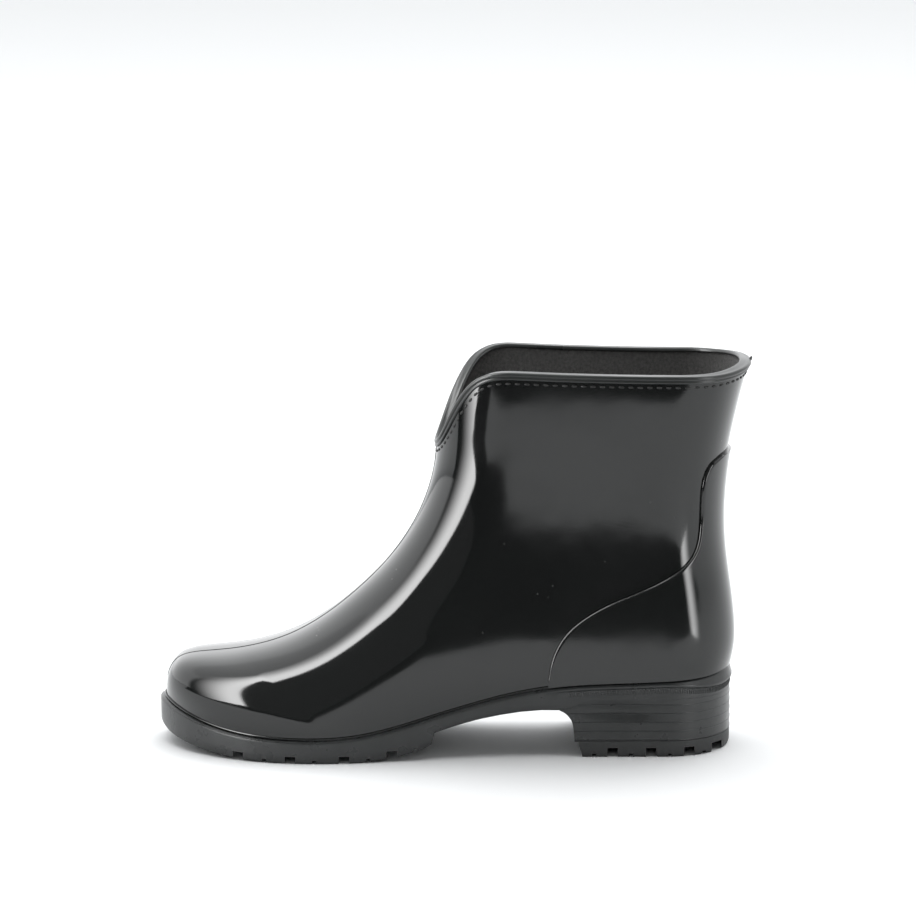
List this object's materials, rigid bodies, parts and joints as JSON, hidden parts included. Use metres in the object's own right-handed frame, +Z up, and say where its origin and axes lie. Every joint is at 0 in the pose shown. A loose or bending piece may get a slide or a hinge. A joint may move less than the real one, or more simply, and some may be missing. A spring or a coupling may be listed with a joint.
{
  "type": "rubber rain boot",
  "caption": "Short black rubber rain boot with a notched collar, raised heel counter, low stacked heel and lugged sole.",
  "frame": {"origin": "centre of the overall box's base, on the ground under the boot", "axes": "+Z up, -Y to the toe, +Y to the heel, +X to the wearer's left (the outer side of this left boot)"},
  "size_m": [0.0942, 0.2726, 0.1808],
  "materials": {
    "shell_pvc": "glossy black, soft moulded PVC",
    "counter_pvc": "glossy black, raised moulded patch",
    "binding_pvc": "satin black edge band with a fine bead",
    "outsole_rubber": "dark grey, satin, ribbed welt and lugs",
    "heel_rubber": "dark grey, satin, stacked lines",
    "top_piece_rubber": "dark grey, matte, lugged",
    "core_plastic": "light hard plastic insert",
    "shank_steel": "plain spring steel strip",
    "filler_foam": "soft foamed filler sheet",
    "board_fibre": "pressed fibre board",
    "lining_textile": "black knitted textile",
    "footbed_textile": "soft foam under dark textile"
  },
  "bodies": {
    "root": {"upper_shell": "shell_pvc", "heel_counter": "counter_pvc", "collar_binding": "binding_pvc", "outsole": "outsole_rubber", "heel_block": "heel_rubber", "heel_top_piece": "top_piece_rubber", "heel_core": "core_plastic", "shank": "shank_steel", "sole_filler": "filler_foam", "insole_board": "board_fibre", "lining_sock": "lining_textile", "footbed": "footbed_textile"}
  },
  "joints": []
}
